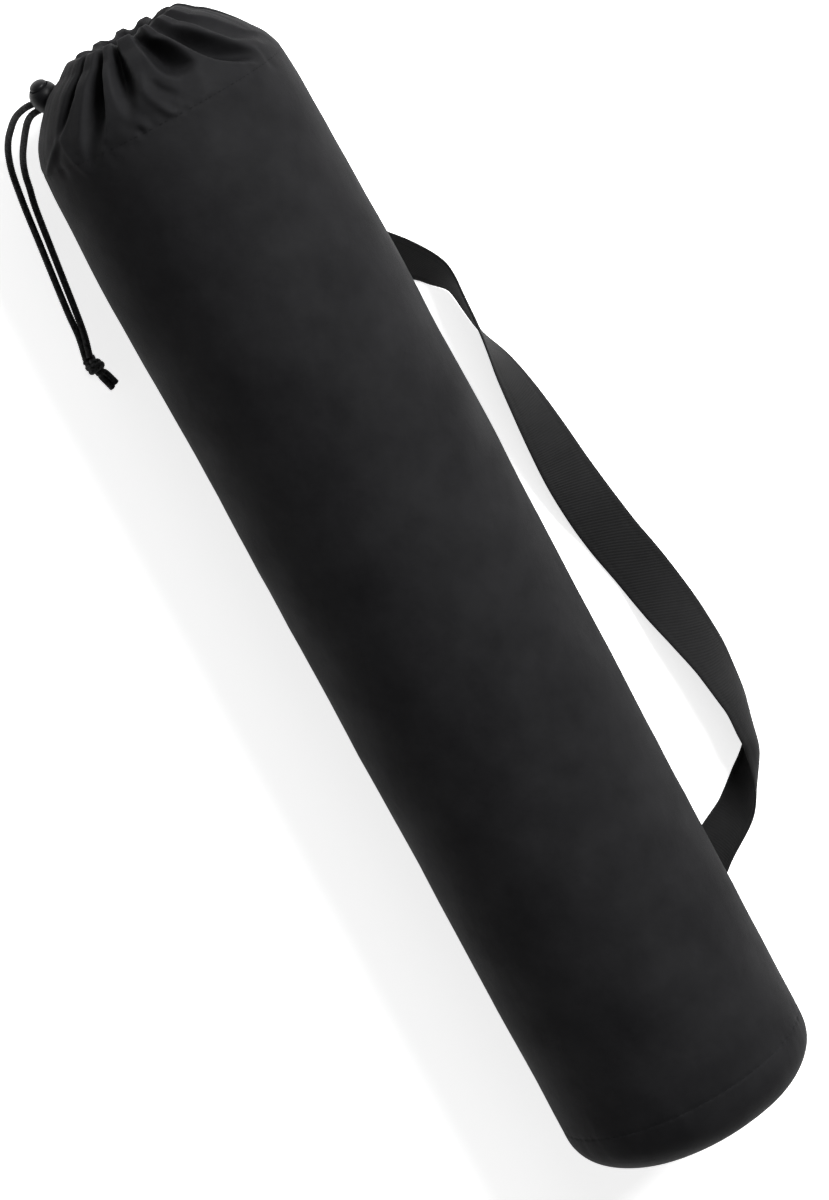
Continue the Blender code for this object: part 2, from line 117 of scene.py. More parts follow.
# Valleys of the gathers, each from the rim to where it runs out: distance, left edge, floor, right edge
# and depth. Distances and depths are mm, the others degrees. The first is where the cord comes out.
VALLEY_COLUMNS = ("distance", "left", "floor", "right", "depth")
VALLEYS = (
    (
        (5.5, -126, -104, -86, 10.5), (14, -126, -105, -87, 12), (24, -124, -107, -90, 10.5),
        (34, -122, -108, -96, 6), (46, -112, -108, -104, 0),
    ),
    (
        (5.5, -49.5, -47, -43, 8), (10, -51, -48.5, -44, 12), (16, -53, -50.5, -46, 12),
        (22, -55, -52.5, -48.5, 7), (28, -56.5, -54.5, -52, 2.5), (33, -57, -55.5, -54, 0),
    ),
    (
        (5.5, -32, -27.5, -23.5, 12.5), (10, -34.5, -29, -23.5, 16.5), (22, -37.5, -31, -24.5, 18),
        (30, -39.5, -33, -25.5, 13), (38, -41.5, -36, -28.5, 6), (45, -42, -38.5, -33, 2.6),
        (52, -42, -40, -37, 0),
    ),
    (
        (5.5, -17, -14, -8.5, 12.5), (10, -18, -14.5, -6.5, 17), (18, -18, -14, -6, 17),
        (25, -17.5, -13.5, -7, 12), (31, -16.5, -13.5, -9.5, 4), (37, -15.5, -14, -12.5, 0),
    ),
    (
        (5.5, 5, 9.5, 17, 10), (12, 6, 12.5, 22, 18.5), (20, 7, 15, 24, 20), (25, 8.5, 16, 24, 16),
        (28, 10.5, 16.5, 22.5, 8), (31, 13, 16.5, 19, 0),
    ),
    (
        (5.5, 23.5, 29, 36, 7.5), (13, 26, 33, 40, 15.5), (22, 29, 37.5, 46, 19), (30, 33, 42, 50, 16.5),
        (36, 39, 47, 54, 10), (41, 46, 51, 56, 2.5), (45, 50, 53, 55, 0),
    ),
    (
        (5.5, 44, 49, 57, 6.5), (12, 46, 51, 60, 5.5), (26, 50, 56, 65, 3), (34, 62, 69, 76, 1.2),
        (40, 68, 72, 77, 0),
    ),
    ((5.5, 76, 86, 96, 8.5), (14, 79, 89, 99, 10), (28, 84, 93, 101, 6), (42, 92, 95, 98, 0)),
    ((5.5, 103, 113, 122, 9), (14, 105, 116, 126, 10.5), (26, 110, 119, 127, 7), (38, 118, 121, 124, 0)),
    ((5.5, 131, 141, 152, 8), (16, 133, 143, 154, 9.5), (30, 139, 146, 153, 5), (44, 145, 148, 151, 0)),
    ((5.5, 160, 168, 177, 9), (14, 159, 168, 178, 10), (27, 163, 170, 176, 6.5), (39, 168, 170, 172, 0)),
    ((5.5, 185, 194, 203, 8), (15, 184, 195, 204, 9.5), (30, 189, 196, 203, 5), (43, 195, 198, 201, 0)),
    ((5.5, 211, 220, 229, 9), (14, 211, 221, 231, 10), (28, 216, 223, 230, 6), (41, 222, 224, 226, 0)),
)

# The tube's small bend towards its cords: (distance mm, mm aside).
LEAN = ((0, 1.3), (20, 1.6), (60, 2.0), (110, 2.0), (150, 1.2), (200, 0.3), (250, 0.0))

# How much less the shoulder stands out on the strap's side: (distance mm, mm).
STRAP_SIDE = ((0, 0.0), (5, 0.8), (11, 3.0), (17, 2.5), (25, 1.8), (34, 1.3), (50, 0.5), (62, 0.0))

# Fine fold lines near the gathers: (distance mm, degrees) points, height and half width in mm. A
# negative height is a crease.
FOLD_LINES = (
    (((16, -46), (22, -50), (30, -55), (38, -64), (47, -75)), 1.4, 2.0),
    (((28, -54), (36, -51), (44, -47), (54, -43)), 1.12, 2.0),
    (((33, -58), (42, -60), (50, -58)), -1.26, 3.2),
    (((19, -2), (26, -4), (32, -2.5), (40, 1), (47, 5)), 1.82, 1.7),
    (((25, 1.5), (30, 3.0), (36, 7)), -2.52, 2.2),
    (((30, 22), (40, 20), (47, 17)), 0.7, 2.6),
    (((34, 36), (44, 33), (54, 32)), 0.56, 3.0),
    (((36, 60), (44, 58), (52, 60)), -0.7, 2.5),
    (((30, -12), (38, -9), (46, -6)), -0.56, 2.0),
    (((40, -31), (48, -28), (56, -27)), -0.56, 2.5),
)

# Puckers on the casing's stitch line: degrees, distance mm, depth mm, half width mm.
PUCKERS = (
    (-25.0, 46.5, 0.5, 1.7), (-21.5, 47.5, 0.5, 1.5), (-12.5, 45.0, 0.8, 1.6),
    (4.6, 46.0, 1.0, 1.9), (8.0, 44.5, 0.6, 1.5), (12.0, 45.5, 0.9, 2.0),
    (19.0, 46.0, 0.5, 1.6),
)

# The strap from its end near the mouth to the other: share of the way, how far out from the tube as a
# share of strap_reach, lean and curl of its section, and how much it still follows the tube.
STRAP = (
    ("along", "out", "lean_deg", "curl_deg", "seat"),
    (0.000, -0.27, 52, 24, 1), (0.060, -0.27, 52, 24, 1), (0.102, -0.24, 51, 24, 0.85),
    (0.138, -0.12, 47, 22, 0.45), (0.168, 0.05, 45, 20, 0.12), (0.202, 0.24, 58, 20, 0),
    (0.230, 0.32, 82, 24, 0), (0.254, 0.33, 87, 20, 0), (0.275, 0.34, 92, 12, 0),
    (0.320, 0.39, 116, 10, 0), (0.362, 0.42, 131, 10, 0), (0.405, 0.44, 144, 10, 0),
    (0.448, 0.46, 156, 8, 0), (0.492, 0.50, 168, 8, 0), (0.536, 0.56, 179, 8, 0),
    (0.578, 0.64, 179, 8, 0), (0.620, 0.71, 168, 10, 0), (0.662, 0.78, 151, 16, 0),
    (0.704, 0.83, 137, 28, 0), (0.746, 0.84, 124, 48, 0), (0.784, 0.78, 110, 90, 0),
    (0.805, 0.70, 92, 140, 0), (0.828, 0.58, 70, 112, 0), (0.854, 0.41, 57, 62, 0),
    (0.886, 0.06, 50, 30, 0.25), (0.914, -0.20, 51, 24, 0.75), (0.941, -0.27, 52, 24, 1),
    (1.000, -0.27, 52, 24, 1),
)

# Routes of the cords from the lock to the knot, with y from the bag's axis.
CORD_ROUTE_OUTER = (
    (-0.3444, -0.0675, 0.0565), (-0.3428, -0.0732, 0.0495), (-0.3400, -0.0775, 0.0405),
    (-0.3360, -0.0815, 0.0310), (-0.3308, -0.0858, 0.0195), (-0.3245, -0.0894, 0.0095),
    (-0.3175, -0.0920, 0.0038), (-0.3109, -0.0937, 0.0024), (-0.2997, -0.0955, 0.0023),
    (-0.2884, -0.0970, 0.0023), (-0.2658, -0.0995, 0.0023), (-0.2431, -0.1021, 0.0023),
    (-0.2260, -0.1039, 0.0023), (-0.2120, -0.1050, 0.0024),
)
CORD_ROUTE_INNER = (
    (-0.3390, -0.0670, 0.0545), (-0.3364, -0.0708, 0.0480), (-0.3320, -0.0745, 0.0395),
    (-0.3265, -0.0783, 0.0285), (-0.3202, -0.0823, 0.0175), (-0.3135, -0.0855, 0.0085),
    (-0.3065, -0.0877, 0.0036), (-0.2997, -0.0890, 0.0024), (-0.2884, -0.0914, 0.0023),
    (-0.2658, -0.0944, 0.0023), (-0.2431, -0.0973, 0.0023), (-0.2260, -0.0995, 0.0025),
    (-0.2120, -0.1016, 0.0046),
)
knot_place = Vector((-0.1925, -0.1045, 0.0058))
knot_turn_deg = 16.0
cord_outer_length = 0.199
cord_inner_length = 0.187


# Tables and lines


def read_table(rows, key, column, at):
    """The column's value at a key value, on a smooth curve that never overshoots its rows."""
    names = rows[0]
    keys = [row[names.index(key)] for row in rows[1:]]
    values = [row[names.index(column)] for row in rows[1:]]
    at = min(max(at, keys[0]), keys[-1])
    i = max(k for k in range(len(keys) - 1) if keys[k] <= at)
    slopes = [(values[k + 1] - values[k]) / (keys[k + 1] - keys[k]) for k in range(len(keys) - 1)]

    def tangent(k):
        if k == 0 or k == len(keys) - 1:
            return slopes[min(k, len(slopes) - 1)]
        before, after = slopes[k - 1], slopes[k]
        return 0.0 if before * after <= 0 else 2 * before * after / (before + after)

    step = keys[i + 1] - keys[i]
    f = (at - keys[i]) / step
    return (
        (2 * f**3 - 3 * f**2 + 1) * values[i]
        + (f**3 - 2 * f**2 + f) * step * tangent(i)
        + (3 * f**2 - 2 * f**3) * values[i + 1]
        + (f**3 - f**2) * step * tangent(i + 1)
    )


def column(rows, key, name, places):
    return np.array([read_table(rows, key, name, float(p)) for p in places])


def smooth_line(points, spacing):
    """Points about spacing apart on a smooth curve through the given ones."""
    points = [Vector(p) for p in points]
    line = []
    for i in range(len(points) - 1):
        p1, p2 = points[i], points[i + 1]
        p0 = points[i - 1] if i else p1 + (p1 - p2)
        p3 = points[i + 2] if i + 2 < len(points) else p2 + (p2 - p1)
        count = max(1, round((p2 - p1).length / spacing))
        for k in range(count):
            f = k / count
            bend = (2 * p0 - 5 * p1 + 4 * p2 - p3) * f**2 + (3 * p1 - p0 - 3 * p2 + p3) * f**3
            line.append(p1 + ((p2 - p0) * f + bend) / 2)
    return line + [points[-1]]


def even_line(points, spacing):
    """The same curve with its points evenly apart, as an array."""
    points = np.array([tuple(p) for p in points])
    runs = np.linalg.norm(np.diff(points, axis=0), axis=1)
    along = np.concatenate([[0.0], np.cumsum(runs)])
    places = np.linspace(0, along[-1], max(2, round(along[-1] / spacing) + 1))
    return np.stack([np.interp(places, along, points[:, k]) for k in range(3)], axis=1), places


def noise_waves(u, v, seed, waves, low, high):
    """Soft noise about 1 high from a few seeded sine waves, whose lengths lie between low and high."""
    rng = np.random.default_rng(seed)
    total = np.zeros(np.broadcast(u, v).shape)
    for _ in range(waves):
        length = low * (high / low) ** rng.random()
        heading = rng.random() * 2 * math.pi
        phase = rng.random() * 2 * math.pi
        total += np.sin((u * math.cos(heading) + v * math.sin(heading)) * 2 * math.pi / length + phase)
    return total / math.sqrt(waves / 2)


# Mesh helpers


def in_scene(name, data):
    made = bpy.data.objects.new(name, data)
    bpy.context.scene.collection.objects.link(made)
    return made


def mesh_from(bm, name):
    mesh = bpy.data.meshes.new(name)
    bm.to_mesh(mesh)
    bm.free()
    return mesh


def new_object(name, mesh, finish, body="bag"):
    mesh.materials.append(finish)
    made = in_scene(name, mesh)
    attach(made, body)
    return made


def grid_mesh(name, points, wrap_rows=False, wrap_cols=False, uv=None):
    """A mesh of quads through an array of points (rows, columns, 3), shaded smooth."""
    rows, cols = points.shape[:2]
    index = np.arange(rows * cols).reshape(rows, cols)
    if wrap_cols:
        index = np.concatenate([index, index[:, :1]], axis=1)
    if wrap_rows:
        index = np.concatenate([index, index[:1]], axis=0)
    quads = np.stack([index[:-1, :-1], index[:-1, 1:], index[1:, 1:], index[1:, :-1]], axis=-1)
    quads = quads.reshape(-1, 4)
    mesh = bpy.data.meshes.new(name)
    mesh.vertices.add(rows * cols)
    mesh.vertices.foreach_set("co", points.reshape(-1).astype(np.float32))
    mesh.loops.add(len(quads) * 4)
    mesh.loops.foreach_set("vertex_index", quads.reshape(-1).astype(np.int32))
    mesh.polygons.add(len(quads))
    mesh.polygons.foreach_set("loop_start", np.arange(0, len(quads) * 4, 4, dtype=np.int32))
    mesh.polygons.foreach_set("loop_total", np.full(len(quads), 4, dtype=np.int32))
    if uv is not None:
        corners = [(w[:-1, :-1], w[:-1, 1:], w[1:, 1:], w[1:, :-1]) for w in uv]
        corners = [np.stack(four, axis=-1).reshape(-1) for four in corners]
        layer = mesh.uv_layers.new(name="cloth")
        layer.data.foreach_set("uv", np.stack(corners, axis=-1).reshape(-1).astype(np.float32))
    mesh.update(calc_edges=True)
    mesh.validate()
    mesh.shade_smooth()
    return mesh


def face_out(mesh, close=False):
    """Turns the faces outwards, after closing open ends where asked."""
    bm = bmesh.new()
    bm.from_mesh(mesh)
    if close:
        bmesh.ops.holes_fill(bm, edges=[e for e in bm.edges if e.is_boundary], sides=0)
    bmesh.ops.recalc_face_normals(bm, faces=bm.faces)
    bm.to_mesh(mesh)
    bm.free()


def line_frames(points):
    """Two directions across each point of a line, carried along it without twisting."""
    ahead = np.gradient(points, axis=0)
    ahead /= np.linalg.norm(ahead, axis=1, keepdims=True)
    first = np.cross(ahead[0], [0.0, 0.0, 1.0])
    if np.linalg.norm(first) < 0.1:
        first = np.cross(ahead[0], [0.0, 1.0, 0.0])
    sides = [first / np.linalg.norm(first)]
    for way in ahead[1:]:
        side = sides[-1] - way * np.dot(sides[-1], way)
        sides.append(side / np.linalg.norm(side))
    sides = np.array(sides)
    return sides, np.cross(ahead, sides)


# Materials


def new_material(name, colour, roughness, specular):
    made = bpy.data.materials.new(name)
    made.use_nodes = True
    shader = made.node_tree.nodes["Principled BSDF"]
    shader.inputs["Base Color"].default_value = (*colour, 1.0)
    shader.inputs["Roughness"].default_value = roughness
    shader.inputs["Specular IOR Level"].default_value = specular
    return made, shader


def object_coords(tree):
    return tree.nodes.new("ShaderNodeTexCoord").outputs["Object"]


def vary_roughness(tree, shader, fac, given, wanted):
    """Roughness from a grey value: the given range of it becomes the wanted range."""
    spread = tree.nodes.new("ShaderNodeMapRange")
    for ends, values in (("From", given), ("To", wanted)):
        spread.inputs[f"{ends} Min"].default_value = values[0]
        spread.inputs[f"{ends} Max"].default_value = values[1]
    tree.links.new(fac, spread.inputs["Value"])
    tree.links.new(spread.outputs["Result"], shader.inputs["Roughness"])


def math_node(tree, operation, one, two=None):
    made = tree.nodes.new("ShaderNodeMath")
    made.operation = operation
    for socket, value in zip(made.inputs, (one, two)):
        if isinstance(value, (int, float)):
            socket.default_value = value
        elif value is not None:
            tree.links.new(value, socket)
    return made.outputs[0]


def noise_node(tree, scale, detail, vector=None, roughness=0.5):
    made = tree.nodes.new("ShaderNodeTexNoise")
    made.inputs["Scale"].default_value = scale
    made.inputs["Detail"].default_value = detail
    made.inputs["Roughness"].default_value = roughness
    if vector is not None:
        tree.links.new(vector, made.inputs["Vector"])
    return made.outputs["Fac"]


def vary_colour(tree, shader, fac, dark, light):
    ramp = tree.nodes.new("ShaderNodeValToRGB")
    for element, place, colour in zip(ramp.color_ramp.elements, (0.30, 0.72), (dark, light)):
        element.position = place
        element.color = (*colour, 1.0)
    tree.links.new(fac, ramp.inputs["Fac"])
    tree.links.new(ramp.outputs["Color"], shader.inputs["Base Color"])


def bump(tree, shader, height, distance, strength=1.0, before=None):
    made = tree.nodes.new("ShaderNodeBump")
    made.inputs["Distance"].default_value = distance
    made.inputs["Strength"].default_value = strength
    tree.links.new(height, made.inputs["Height"])
    if before is not None:
        tree.links.new(before, made.inputs["Normal"])
    tree.links.new(made.outputs["Normal"], shader.inputs["Normal"])
    return made.outputs["Normal"]


def uv_axes(tree):
    source = tree.nodes.new("ShaderNodeUVMap")
    source.uv_map = "cloth"
    split = tree.nodes.new("ShaderNodeSeparateXYZ")
    tree.links.new(source.outputs["UV"], split.inputs["Vector"])
    return split.outputs["X"], split.outputs["Y"]


def sine(tree, value, length):
    return math_node(tree, "SINE", math_node(tree, "MULTIPLY", value, 2 * math.pi / length))


def nylon():
    """Plain-woven nylon: two fine thread directions, faint crumples and slightly uneven dye."""
    made, shader = new_material("shell_nylon", (0.0070, 0.0070, 0.0075), 0.68, 0.042)
    tree = made.node_tree
    u, v = uv_axes(tree)
    thread = 0.00055
    warp = sine(tree, u, thread)
    weft = sine(tree, v, thread)
    over = math_node(tree, "MULTIPLY", warp, weft)
    ribs = math_node(tree, "ADD", math_node(tree, "ABSOLUTE", warp), math_node(tree, "ABSOLUTE", weft))
    ribs = math_node(tree, "MULTIPLY", ribs, 0.3)
    weave = math_node(tree, "ADD", math_node(tree, "MULTIPLY", over, 0.5), ribs)
    coords = object_coords(tree)
    first = bump(tree, shader, weave, 0.00006, 0.5)
    crumple = noise_node(tree, 34.0, 4.0, coords, 0.60)
    bump(tree, shader, crumple, 0.0016, 0.45, first)
    uneven = noise_node(tree, 20.0, 4.0, coords, 0.65)
    vary_roughness(tree, shader, uneven, (0.30, 0.70), (0.62, 0.76))
    patches = noise_node(tree, 24.0, 5.0, coords, 0.62)
    vary_colour(tree, shader, patches, (0.0056, 0.0056, 0.0061), (0.0106, 0.0106, 0.0113))
    return made


def webbing():
    """Flat polyester webbing with a diagonal twill and plain edges."""
    made, shader = new_material("strap_twill", (0.0060, 0.0060, 0.0063), 0.75, 0.14)
    tree = made.node_tree
    u, v = uv_axes(tree)
    across = math_node(tree, "ADD", u, v)
    twill = sine(tree, across, 0.00125)
    yarn = sine(tree, math_node(tree, "SUBTRACT", v, math_node(tree, "MULTIPLY", u, 0.35)), 0.00062)
    weave = math_node(tree, "ADD", twill, math_node(tree, "MULTIPLY", yarn, 0.4))
    bump(tree, shader, weave, 0.00012, 0.8)
    patches = noise_node(tree, 60.0, 5.0, object_coords(tree), 0.7)
    vary_colour(tree, shader, patches, (0.0048, 0.0048, 0.0050), (0.0072, 0.0072, 0.0075))
    return made


def braid_material():
    """Black braided cord; the lighter patches in its colour are painted glints of fibres catching the light
    unevenly.
    """
    made, shader = new_material("cord_braid", (0.0090, 0.0090, 0.0095), 0.70, 0.12)
    tree = made.node_tree
    coords = object_coords(tree)
    fibres = noise_node(tree, 2600.0, 2.0, coords, 0.6)
    bump(tree, shader, fibres, 0.00008, 0.6)
    # Painted glints: lighter patches in the colour stand in for light caught by the fibres.
    patches = noise_node(tree, 620.0, 2.0, coords, 0.6)
    vary_colour(tree, shader, patches, (0.0045, 0.0045, 0.0050), (0.0560, 0.0560, 0.0575))
    return made


def plastic():
    """Black moulded plastic with faint scuffs."""
    made, shader = new_material("lock_gloss", (0.0060, 0.0060, 0.0066), 0.40, 0.12)
    tree = made.node_tree
    scuffs = noise_node(tree, 900.0, 3.0, object_coords(tree), 0.6)
    vary_roughness(tree, shader, scuffs, (0.0, 1.0), (0.36, 0.48))
    bump(tree, shader, scuffs, 0.00002, 0.3)
    return made


def thread_material():
    made, shader = new_material("seam_thread", (0.0030, 0.0030, 0.0033), 0.75, 0.05)
    tree = made.node_tree
    fibres = noise_node(tree, 3000.0, 2.0, object_coords(tree), 0.6)
    bump(tree, shader, fibres, 0.00004, 0.6)
    return made


shell_nylon = nylon()
strap_twill = webbing()
cord_braid = braid_material()
lock_gloss = plastic()
seam_thread = thread_material()


# Camera, floor and light


def place_camera():
    tilt = math.radians(12.0)
    distance = 2.43
    image_turn = (0.4728, 0.8811)
    along = Vector((math.cos(tilt), 0, math.sin(tilt)))
    across = Vector((0, 1, 0))
    back = Vector((-math.sin(tilt), 0, math.cos(tilt)))
    target = Vector((0, axis_y - 0.0073, 0.074))
    right = along * image_turn[0] + across * image_turn[1]
    up = across * image_turn[0] - along * image_turn[1]
    data = bpy.data.cameras.new("camera")
    data.sensor_width = 36.0
    data.lens = 129.3
    data.clip_end = 20.0
    camera = in_scene("camera", data)
    turn = Matrix((right, up, back)).transposed().to_4x4()
    camera.matrix_world = Matrix.Translation(target + back * distance) @ turn
    bpy.context.scene.camera = camera


def area_light(name, place, target, size, power):
    data = bpy.data.lights.new(name, "AREA")
    data.shape = "DISK"
    data.size = size
    data.energy = power
    light = in_scene(name, data)
    light.location = place
    light.rotation_euler = (Vector(target) - Vector(place)).to_track_quat("-Z", "Y").to_euler()


def studio():
    bm = bmesh.new()
    bmesh.ops.create_grid(bm, x_segments=2, y_segments=2, size=30.0)
    mesh = mesh_from(bm, "floor")
    white, shader = new_material("floor_white", (0.86, 0.86, 0.86), 0.9, 0.1)
    shader.inputs["Emission Color"].default_value = (1.0, 1.0, 1.0, 1.0)
    shader.inputs["Emission Strength"].default_value = 0.79
    mesh.materials.append(white)
    in_scene("floor", mesh)
    world = bpy.data.worlds.new("studio")
    world.use_nodes = True
    tree = world.node_tree
    background = tree.nodes["Background"]
    split = tree.nodes.new("ShaderNodeSeparateXYZ")
    tree.links.new(tree.nodes.new("ShaderNodeTexCoord").outputs["Generated"], split.inputs["Vector"])
    sky = tree.nodes.new("ShaderNodeValToRGB")
    for element, height, grey in zip(sky.color_ramp.elements, (0.10, 0.45), (0.90, 0.04)):
        element.position = height
        element.color = (grey, grey, grey, 1.0)
    tree.links.new(split.outputs["Z"], sky.inputs["Fac"])
    tree.links.new(sky.outputs["Color"], background.inputs["Color"])
    bpy.context.scene.world = world
    area_light("top", (-1.2, 0.60, 2.3), (0, 0, 0), 1.2, 8.0)
    area_light("side", (-0.9, 1.55, 1.92), (0, 0.05, 0.08), 1.1, 142.0)
    bpy.context.scene.view_settings.view_transform = "Standard"


place_camera()
studio()


# Cords


def lock_frame():
    angle = math.radians(exit_deg)
    tilt = math.radians(lock_tilt_deg)
    way = Vector((0, math.sin(angle), math.cos(angle)))
    along = Vector((1, 0, 0))
    axis = way.cross(along) * math.sin(tilt) - along * math.cos(tilt)
    centre = Vector((rim_x + lock_from_rim, axis_y, axis_height)) + way * lock_reach
    return centre, axis, way


def lock_hole(index):
    centre, axis, _ = lock_frame()
    return centre + axis * (lock_first_hole - index * lock_hole_spacing)


def lock_matrix(offset=0.0):
    centre, axis, way = lock_frame()
    across = axis.cross(way)
    rotation = Matrix((way, across, axis)).transposed().to_4x4()
    return Matrix.Translation(centre + axis * offset) @ rotation


def on_ring(deg, radius, from_rim=cord_from_rim):
    angle = math.radians(deg)
    up = axis_height + radius * math.cos(angle)
    return Vector((rim_x + from_rim, axis_y + radius * math.sin(angle), up))


def braid_mesh(name, points, spacing=0.00034, radius=cord_radius, round_ends=(False, False)):
    """A round braid along a line: strands of both directions pass over each other in turn."""
    line, along = even_line(points, spacing)
    side, up = line_frames(line)
    around = 32
    turn = np.linspace(0, 2 * math.pi, around, endpoint=False)
    strands = 6
    pitch = 0.0086
    climb = 2 * math.pi * strands * along[:, None] / pitch
    one = strands * turn[None, :] + climb
    two = strands * turn[None, :] - climb
    over = 0.5 + 0.5 * np.sin((one + two) / 2) * np.sin((one - two) / 2)
    relief = np.abs(np.cos(one / 2)) ** 0.8 * over + np.abs(np.cos(two / 2)) ** 0.8 * (1 - over)
    reach = radius * (0.84 + 0.20 * relief)
    taper = np.ones(len(line))
    for at_end, rounded in zip((0, 1), round_ends):
        if rounded:
            left = along if at_end == 0 else along[-1] - along
            f = np.clip(left / (radius * 0.4), 0, 1)
            taper *= np.sqrt(np.clip(1 - (1 - f) ** 2, 0.02, 1))
    reach = reach * taper[:, None]
    points = (
        line[:, None, :]
        + side[:, None, :] * (np.cos(turn)[None, :] * reach)[:, :, None]
        + up[:, None, :] * (np.sin(turn)[None, :] * reach)[:, :, None]
    )
    mesh = grid_mesh(name, points, wrap_cols=True)
    face_out(mesh, close=True)
    return mesh, line


def drawstring_ring():
    _, _, way = lock_frame()
    slot_radius = neck_radius - pleat_depth / 2
    aside = math.degrees((exit_slot_round / 2 - cord_radius - cord_clearance) / slot_radius)
    ends = []
    for index, side in ((0, 1), (1, -1)):
        hole = lock_hole(index)
        past_slot = exit_slot_from_rim - side * cord_radius / 2
        ends.append(
            [
                hole - way * touch_gap / 2,
                hole - way * lock_radius * 0.9,
                hole - way * (lock_radius + cord_radius),
                on_ring(exit_deg + side * aside, slot_radius, past_slot),
                on_ring(exit_deg + side * aside * 2.4, drawstring_radius + cord_radius * 0.6),
            ]
        )
    start = exit_deg + aside * 5
    sweep = 360 - aside * 10
    steps = 30
    ring = [on_ring(start + sweep * k / steps, drawstring_radius) for k in range(steps + 1)]
    mesh, _ = braid_mesh("drawstring", smooth_line(ends[0] + ring + ends[1][::-1], 0.002), 0.0005)
    made = new_object("drawstring", mesh, cord_braid)
    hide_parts("drawstring_loop")


def cord_tail_line(index, route):
    _, _, way = lock_frame()
    hole = lock_hole(index)
    shift = Vector((0, axis_y, 0))
    start = [hole + way * touch_gap / 2, hole + way * lock_radius * 0.95]
    turn = math.radians(knot_turn_deg)
    forward = Vector((math.cos(turn), math.sin(turn), 0))
    side = Vector((-forward.y, forward.x, 0)) * (index - 0.5) * cord_radius * 1.5
    end = knot_place - forward * (knot_length / 2 + touch_gap * 2) + side
    end.z = (0.0028, 0.0061)[index]
    return smooth_line(start + [Vector(p) + shift for p in route] + [end + shift], 0.002)


def knot_piece():
    """Overhand knot tied in both cords at once, pulled tight, with their two ends past it."""
    turn = math.radians(knot_turn_deg)
    place = Matrix.Translation(knot_place + Vector((0, axis_y, 0))) @ Matrix.Rotation(turn, 4, "Z")
    meshes = []
    half = knot_length / 2
    for index in (0, 1):
        aside = (index - 0.5) * (cord_diameter + touch_gap * 2)
        low = cord_radius + touch_gap - knot_place.z
        wrap = []
        steps = 22
        for k in range(steps + 1):
            f = k / steps
            spin = 2 * math.pi * 1.35 * f + (0.4 if index else 2.9)
            reach = (knot_width / 2 - cord_radius) * 1.22 * math.sin(math.pi * min(1, 0.12 + f * 0.9)) ** 0.5
            wrap.append(
                (
                    -half * 0.62 + half * 1.15 * f + (0.0012 if index else -0.0008) * math.sin(6 * f),
                    reach * math.sin(spin),
                    reach * math.cos(spin),
                )
            )
        line = [(-half - touch_gap, aside, low + touch_gap)]
        line += [(-half * 0.80, aside * 0.8, low * 0.6)]
        line += wrap
        reach_out = cord_end_length * (1.0, 0.93)[index]
        line += [(half * 0.95, aside * 0.66, low * 0.6), (half + reach_out * 0.45, aside * 0.74, low)]
        line += [(half + reach_out, aside * 0.74, low)]
        points = smooth_line(line, 0.0008)
        mesh, _ = braid_mesh(f"knot_strand_{index}", points, 0.0004, cord_radius * 0.97, (False, True))
        mesh.transform(place)
        meshes.append(mesh)
    bm = bmesh.new()
    for mesh in meshes:
        bm.from_mesh(mesh)
    joined = mesh_from(bm, "knot")
    joined.shade_smooth()
    made = new_object("knot", joined, cord_braid)
    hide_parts("end_knot")
    return made


drawstring_ring()
knot = knot_piece()
for name, node, index, route, length in (
    ("cord_outer", "cord_tail_outer", 0, CORD_ROUTE_OUTER, cord_outer_length),
    ("cord_inner", "cord_tail_inner", 1, CORD_ROUTE_INNER, cord_inner_length),
):
    mesh, line = braid_mesh(name, cord_tail_line(index, route))
    tail = new_object(name, mesh, cord_braid)
    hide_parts(node)


# Lock


def lathe(name, profile, matrix, finish, body, around=72):
    """A turned piece from a profile of (radius, height) that starts and ends on the axis."""
    bm = bmesh.new()
    verts = [bm.verts.new((r, 0, z)) for r, z in profile]
    edges = [bm.edges.new(pair) for pair in zip(verts, verts[1:])]
    turned = {"cent": (0, 0, 0), "axis": (0, 0, 1), "angle": 2 * math.pi, "steps": around}
    bmesh.ops.spin(bm, geom=verts + edges, use_merge=True, **turned)
    bmesh.ops.remove_doubles(bm, verts=bm.verts, dist=0.000002)
    bmesh.ops.recalc_face_normals(bm, faces=bm.faces)
    mesh = mesh_from(bm, name)
    mesh.transform(matrix)
    mesh.shade_smooth()
    return new_object(name, mesh, finish, body)


def bore(made, radius, depth, matrix):
    bm = bmesh.new()
    bmesh.ops.create_cone(bm, cap_ends=True, segments=32, radius1=radius, radius2=radius, depth=depth)
    mesh = mesh_from(bm, "bore")
    mesh.transform(matrix)
    cutter = in_scene("bore", mesh)
    cut = made.modifiers.new("bore", "BOOLEAN")
    cut.operation = "DIFFERENCE"
    cut.solver = "EXACT"
    cut.object = cutter
    bpy.context.view_layer.update()
    graph = bpy.context.evaluated_depsgraph_get()
    drilled = bpy.data.meshes.new_from_object(made.evaluated_get(graph))
    made.modifiers.clear()
    made.data = drilled
    bpy.data.objects.remove(cutter, do_unlink=True)


